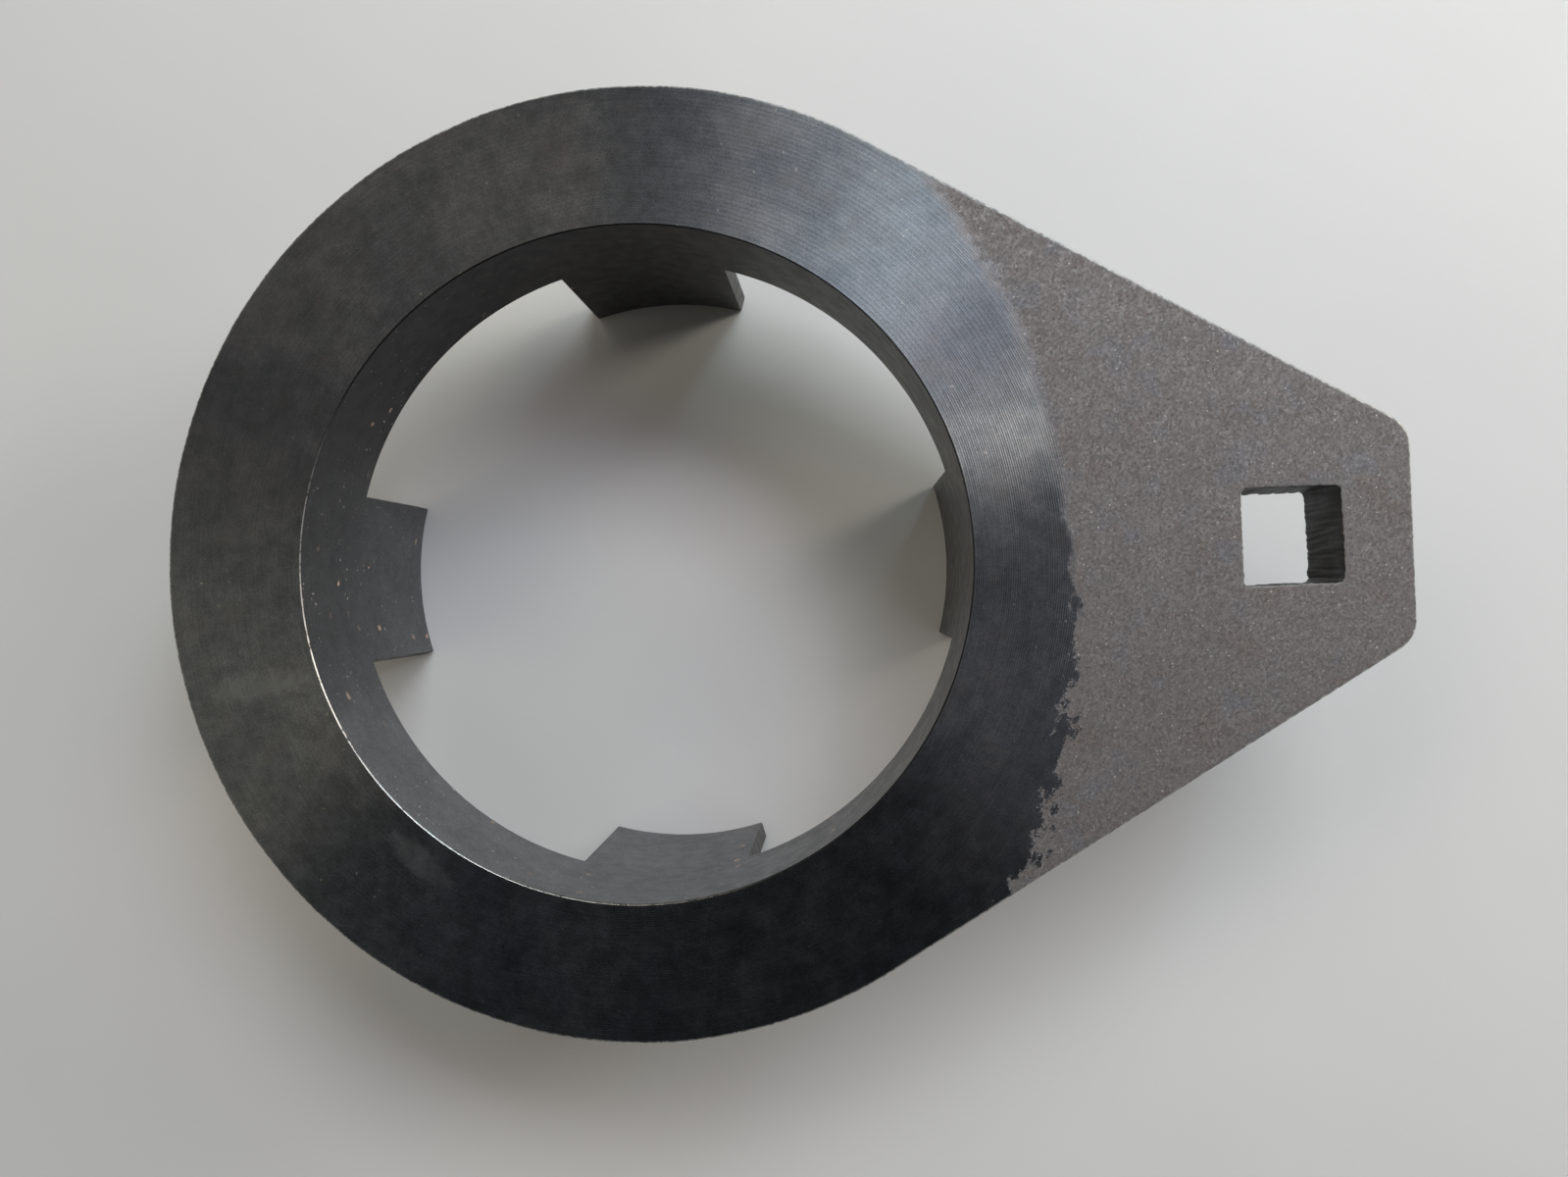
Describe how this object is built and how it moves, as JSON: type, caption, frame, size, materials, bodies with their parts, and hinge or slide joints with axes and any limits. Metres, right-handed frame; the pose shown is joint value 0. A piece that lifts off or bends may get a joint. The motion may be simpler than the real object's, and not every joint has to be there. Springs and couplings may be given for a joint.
{
  "type": "oil filter wrench",
  "caption": "Flat steel lever with a round eye and a square drive hole; a thin lugged sleeve through the eye engages the slots of an oil filter or filter cap.",
  "frame": {"origin": "on the bore's axis, in the plane of the four lug tips that the wrench stands on", "axes": "+X from the bore's axis along the arm to the square drive hole, +Z from the lug tips to the turned face"},
  "size_m": [0.1647, 0.1274, 0.043],
  "materials": {
    "plate_steel": "hot-rolled mill skin on the arm, turned and blackened round the eye, cut edges",
    "blackened_steel": "bored and turned, then blackened",
    "turned_weld": "weld metal turned flush with the face, then blackened",
    "weld_bead": "as-welded ripples, blackened"
  },
  "bodies": {
    "root": {"lever_plate": "plate_steel", "lug_sleeve": "blackened_steel", "face_weld": "turned_weld", "underside_weld": "weld_bead"}
  },
  "joints": []
}
